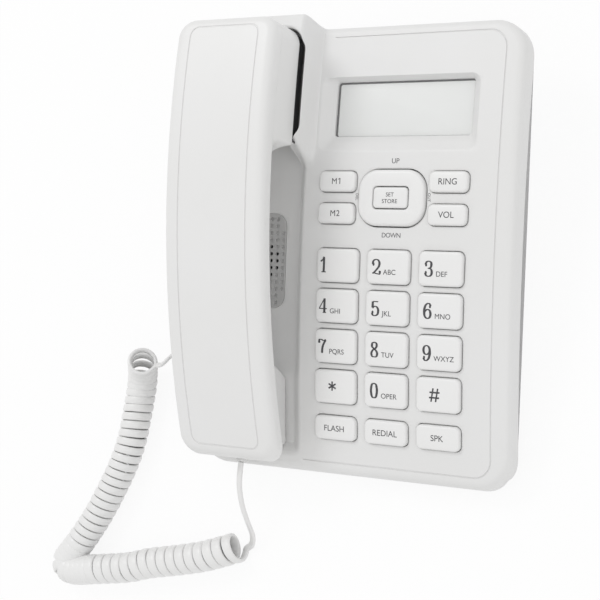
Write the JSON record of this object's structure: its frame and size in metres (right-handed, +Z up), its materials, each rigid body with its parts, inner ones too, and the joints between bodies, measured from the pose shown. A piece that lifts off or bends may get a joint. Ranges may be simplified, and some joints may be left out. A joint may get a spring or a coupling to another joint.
{
  "type": "corded landline phone",
  "caption": "Desk telephone: wedge base with keypad, rocker, display and speaker grille, a handset in a cradle, and a curly cord that joins them.",
  "frame": {"origin": "centre of the bounding box in plan, on the desk surface that the rubber feet stand on, cord left out", "axes": "+X to the right of someone dialling, +Y to the rear (display end), +Z up"},
  "size_m": [0.2429, 0.2694, 0.0792],
  "materials": {
    "cover_white": "fine satin moulded ABS",
    "handset_white": "fine satin moulded ABS",
    "key_white": "satin moulded keys with dark grey legends",
    "grille_white": "satin moulded ABS",
    "window": "clear acrylic",
    "lcd": "pale grey liquid crystal panel",
    "inner_white": "plain moulded ABS",
    "silicone": "grey silicone rubber",
    "circuit_board": "green solder mask",
    "steel": "zinc plated",
    "black_plastic": "black moulded plastic",
    "black_rubber": "soft rubber",
    "cord_white": "soft white PVC jacket",
    "plug_clear": "translucent moulded polycarbonate"
  },
  "bodies": {
    "base": {"top_cover": "cover_white", "bottom_cover": "cover_white", "rubber_feet": "black_rubber", "case_screws": "steel", "speaker_grille": "grille_white", "base_speaker": "black_plastic", "speaker_clamp": "steel", "display_window": "window", "lcd_panel": "lcd", "lcd_frame": "inner_white", "keypad_mat": "silicone", "keypad_board": "circuit_board", "board_screws": "steel", "main_board": "circuit_board", "line_jack": "inner_white", "base_cord_jack": "inner_white", "hook_switch": "black_plastic", "hook_spring": "steel", "base_plug": "plug_clear", "cord_base_lead": "cord_white", "cord_coil": "cord_white"},
    "handset": {"handset_back": "handset_white", "handset_front": "handset_white", "earpiece": "black_plastic", "microphone": "steel", "microphone_boot": "black_rubber", "handset_weight": "steel", "handset_cord_jack": "inner_white", "handset_screws": "steel", "handset_plug": "plug_clear", "cord_handset_lead": "cord_white"},
    "key_1": {"key_1": "key_white"},
    "key_2": {"key_2": "key_white"},
    "key_3": {"key_3": "key_white"},
    "key_4": {"key_4": "key_white"},
    "key_5": {"key_5": "key_white"},
    "key_6": {"key_6": "key_white"},
    "key_7": {"key_7": "key_white"},
    "key_8": {"key_8": "key_white"},
    "key_9": {"key_9": "key_white"},
    "key_star": {"key_star": "key_white"},
    "key_0": {"key_0": "key_white"},
    "key_hash": {"key_hash": "key_white"},
    "key_flash": {"key_flash": "key_white"},
    "key_redial": {"key_redial": "key_white"},
    "key_handsfree": {"key_handsfree": "key_white"},
    "key_m1": {"key_m1": "key_white"},
    "key_m2": {"key_m2": "key_white"},
    "key_ring": {"key_ring": "key_white"},
    "key_volume": {"key_volume": "key_white"},
    "set_button": {"set_button": "key_white"},
    "rocker_pivot": {"rocker_pivot": "black_rubber"},
    "rocker": {"rocker": "key_white"},
    "hook_plunger": {"hook_plunger": "inner_white"}
  },
  "joints": [
    {"name": "key_1_press", "type": "slide", "parent": "base", "child": "key_1", "axis": [0, 0.1568, -0.9876], "range_m": [0, 0.0012], "stiffness_N_per_m": 400, "springref_m": -0.001},
    {"name": "key_2_press", "type": "slide", "parent": "base", "child": "key_2", "axis": [0, 0.1568, -0.9876], "range_m": [0, 0.0012], "stiffness_N_per_m": 400, "springref_m": -0.001},
    {"name": "key_3_press", "type": "slide", "parent": "base", "child": "key_3", "axis": [0, 0.1568, -0.9876], "range_m": [0, 0.0012], "stiffness_N_per_m": 400, "springref_m": -0.001},
    {"name": "key_4_press", "type": "slide", "parent": "base", "child": "key_4", "axis": [0, 0.1776, -0.9841], "range_m": [0, 0.0012], "stiffness_N_per_m": 400, "springref_m": -0.001},
    {"name": "key_5_press", "type": "slide", "parent": "base", "child": "key_5", "axis": [0, 0.1776, -0.9841], "range_m": [0, 0.0012], "stiffness_N_per_m": 400, "springref_m": -0.001},
    {"name": "key_6_press", "type": "slide", "parent": "base", "child": "key_6", "axis": [0, 0.1776, -0.9841], "range_m": [0, 0.0012], "stiffness_N_per_m": 400, "springref_m": -0.001},
    {"name": "key_7_press", "type": "slide", "parent": "base", "child": "key_7", "axis": [0, 0.1985, -0.9801], "range_m": [0, 0.0012], "stiffness_N_per_m": 400, "springref_m": -0.001},
    {"name": "key_8_press", "type": "slide", "parent": "base", "child": "key_8", "axis": [0, 0.1985, -0.9801], "range_m": [0, 0.0012], "stiffness_N_per_m": 400, "springref_m": -0.001},
    {"name": "key_9_press", "type": "slide", "parent": "base", "child": "key_9", "axis": [0, 0.1985, -0.9801], "range_m": [0, 0.0012], "stiffness_N_per_m": 400, "springref_m": -0.001},
    {"name": "key_star_press", "type": "slide", "parent": "base", "child": "key_star", "axis": [0, 0.2192, -0.9757], "range_m": [0, 0.0012], "stiffness_N_per_m": 400, "springref_m": -0.001},
    {"name": "key_0_press", "type": "slide", "parent": "base", "child": "key_0", "axis": [0, 0.2192, -0.9757], "range_m": [0, 0.0012], "stiffness_N_per_m": 400, "springref_m": -0.001},
    {"name": "key_hash_press", "type": "slide", "parent": "base", "child": "key_hash", "axis": [0, 0.2192, -0.9757], "range_m": [0, 0.0012], "stiffness_N_per_m": 400, "springref_m": -0.001},
    {"name": "key_flash_press", "type": "slide", "parent": "base", "child": "key_flash", "axis": [0, 0.2404, -0.9707], "range_m": [0, 0.0012], "stiffness_N_per_m": 400, "springref_m": -0.001},
    {"name": "key_redial_press", "type": "slide", "parent": "base", "child": "key_redial", "axis": [0, 0.2404, -0.9707], "range_m": [0, 0.0012], "stiffness_N_per_m": 400, "springref_m": -0.001},
    {"name": "key_handsfree_press", "type": "slide", "parent": "base", "child": "key_handsfree", "axis": [0, 0.2404, -0.9707], "range_m": [0, 0.0012], "stiffness_N_per_m": 400, "springref_m": -0.001},
    {"name": "key_m1_press", "type": "slide", "parent": "base", "child": "key_m1", "axis": [0, 0.1133, -0.9936], "range_m": [0, 0.0012], "stiffness_N_per_m": 400, "springref_m": -0.001},
    {"name": "key_m2_press", "type": "slide", "parent": "base", "child": "key_m2", "axis": [0, 0.1299, -0.9915], "range_m": [0, 0.0012], "stiffness_N_per_m": 400, "springref_m": -0.001},
    {"name": "key_ring_press", "type": "slide", "parent": "base", "child": "key_ring", "axis": [0, 0.1133, -0.9936], "range_m": [0, 0.0012], "stiffness_N_per_m": 400, "springref_m": -0.001},
    {"name": "key_volume_press", "type": "slide", "parent": "base", "child": "key_volume", "axis": [0, 0.1299, -0.9915], "range_m": [0, 0.0012], "stiffness_N_per_m": 400, "springref_m": -0.001},
    {"name": "set_button_press", "type": "slide", "parent": "base", "child": "set_button", "axis": [0, 0.1216, -0.9926], "range_m": [0, 0.0012], "stiffness_N_per_m": 400, "springref_m": -0.001},
    {"name": "rocker_up_down", "type": "hinge", "parent": "base", "child": "rocker_pivot", "pos_m": [0.0215, 0.02252, 0.03342], "axis": [1, 0, 0], "range_deg": [-2.5, 2.5], "stiffness_Nm_per_rad": 0.5},
    {"name": "rocker_left_right", "type": "hinge", "parent": "rocker_pivot", "child": "rocker", "pos_m": [0.0215, 0.02252, 0.03342], "axis": [0, 0.9926, 0.1216], "range_deg": [-2.5, 2.5], "stiffness_Nm_per_rad": 0.5},
    {"name": "handset_lift", "type": "slide", "parent": "base", "child": "handset", "axis": [0, -0.1478, 0.989], "range_m": [0, 0.07]},
    {"name": "hook_rise", "type": "slide", "parent": "base", "child": "hook_plunger", "axis": [0, 0, 1], "range_m": [0, 0.0035], "deforming": ["hook_spring"]}
  ],
  "couplings": [
    {"joint": "hook_rise", "follows": "handset_lift", "ratio": 0.05}
  ]
}
